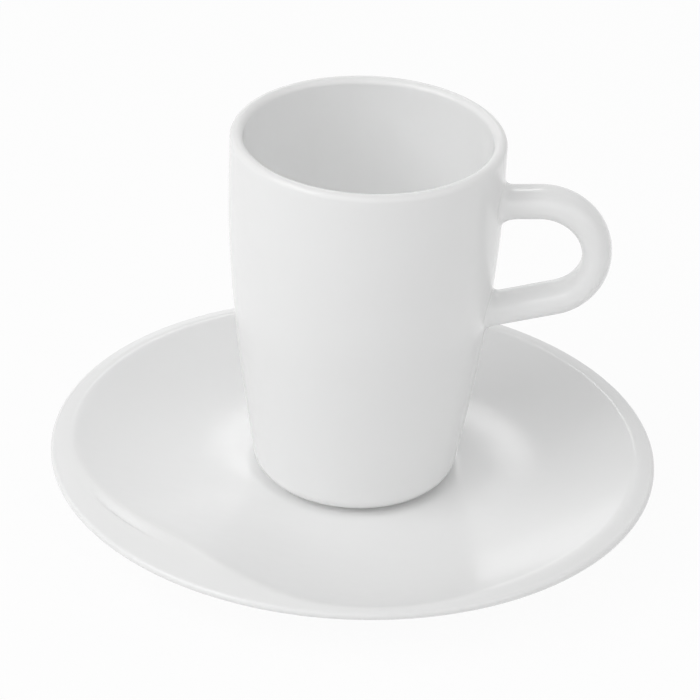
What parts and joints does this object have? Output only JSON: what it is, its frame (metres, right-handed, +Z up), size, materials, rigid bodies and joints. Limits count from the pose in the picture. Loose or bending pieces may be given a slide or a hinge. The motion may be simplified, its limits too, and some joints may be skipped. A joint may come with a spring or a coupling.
{
  "type": "espresso cup with saucer",
  "caption": "Tall round porcelain espresso cup with an ear handle, standing in the well of a shallow saucer with a flowing rim; the cup lifts off.",
  "frame": {"origin": "on the table, under the middle of the saucer's round outline", "axes": "+Z up, the handle points along +X, and the cup's well lies 3.6 mm behind the origin along +Y"},
  "size_m": [0.1236, 0.1236, 0.082],
  "materials": {
    "cup_porcelain": "white hard porcelain under a clear satin-gloss glaze, foot ring ground bare",
    "handle_porcelain": "white hard porcelain under a clear satin-gloss glaze",
    "luting_slip": "fired porcelain slip under the same glaze",
    "saucer_porcelain": "white hard porcelain under a clear satin-gloss glaze, foot ring ground bare"
  },
  "bodies": {
    "saucer": {"saucer": "saucer_porcelain"},
    "cup": {"cup_body": "cup_porcelain", "cup_handle": "handle_porcelain", "upper_slip_joint": "luting_slip", "lower_slip_joint": "luting_slip"}
  },
  "joints": [
    {"name": "cup_lift", "type": "slide", "parent": "saucer", "child": "cup", "axis": [0, 0, 1], "range_m": [0, 0.09]}
  ]
}
